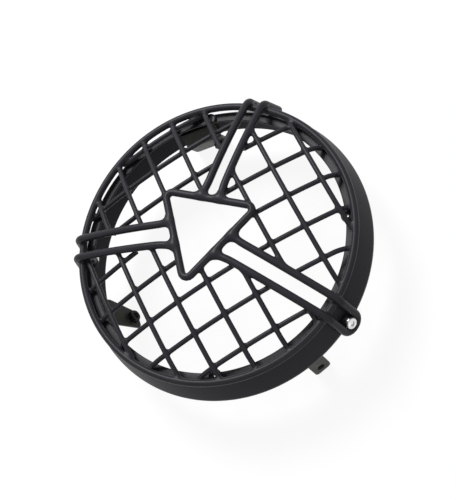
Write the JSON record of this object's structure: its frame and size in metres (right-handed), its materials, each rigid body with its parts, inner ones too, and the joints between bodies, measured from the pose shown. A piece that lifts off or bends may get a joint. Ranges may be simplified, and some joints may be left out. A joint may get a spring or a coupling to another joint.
{
  "type": "motorcycle headlight grille",
  "caption": "Domed wire mesh guard in a round flared band, with a triangle and hairpin arms at the front and flat mounting brackets behind.",
  "frame": {"origin": "on the plane of the three bracket ends, under the middle of the whole grille; the ring's axis is 2.9 mm below it along Y", "axes": "+Z out of the front of the grille along the ring's axis, +Y up towards the top arm, +X to the right seen from the front"},
  "size_m": [0.2136, 0.2148, 0.0818],
  "materials": {
    "band": "satin black powder coat",
    "rods": "satin black powder coat",
    "wires": "satin black powder coat",
    "spacers": "satin black powder coat",
    "brackets": "satin black powder coat",
    "screws": "bright zinc plate"
  },
  "bodies": {
    "root": {"band": "band", "rim_rod": "rods", "triangle_frame": "rods", "top_arm": "rods", "left_arm": "rods", "right_arm": "rods", "front_wire_1": "wires", "front_wire_2": "wires", "front_wire_2_b": "wires", "front_wire_3": "wires", "front_wire_3_b": "wires", "front_wire_4": "wires", "front_wire_4_b": "wires", "front_wire_5": "wires", "front_wire_5_b": "wires", "front_wire_6": "wires", "front_wire_6_b": "wires", "front_wire_6_c": "wires", "front_wire_7": "wires", "front_wire_8": "wires", "back_wire_1": "wires", "back_wire_2": "wires", "back_wire_2_b": "wires", "back_wire_3": "wires", "back_wire_3_b": "wires", "back_wire_4": "wires", "back_wire_4_b": "wires", "back_wire_5": "wires", "back_wire_5_b": "wires", "back_wire_6": "wires", "back_wire_6_b": "wires", "back_wire_7": "wires", "top_eyelet": "rods", "left_eyelet": "rods", "right_eyelet": "rods", "bottom_eyelet": "rods", "top_lug_spacer": "spacers", "left_lug_spacer": "spacers", "right_lug_spacer": "spacers", "top_lug_screw": "screws", "left_lug_screw": "screws", "right_lug_screw": "screws", "top_lug_nut": "screws", "left_lug_nut": "screws", "right_lug_nut": "screws", "upper_bracket": "brackets", "left_bracket": "brackets", "right_bracket": "brackets", "upper_bracket_nut": "brackets", "left_bracket_nut": "brackets", "right_bracket_nut": "brackets"}
  },
  "joints": []
}
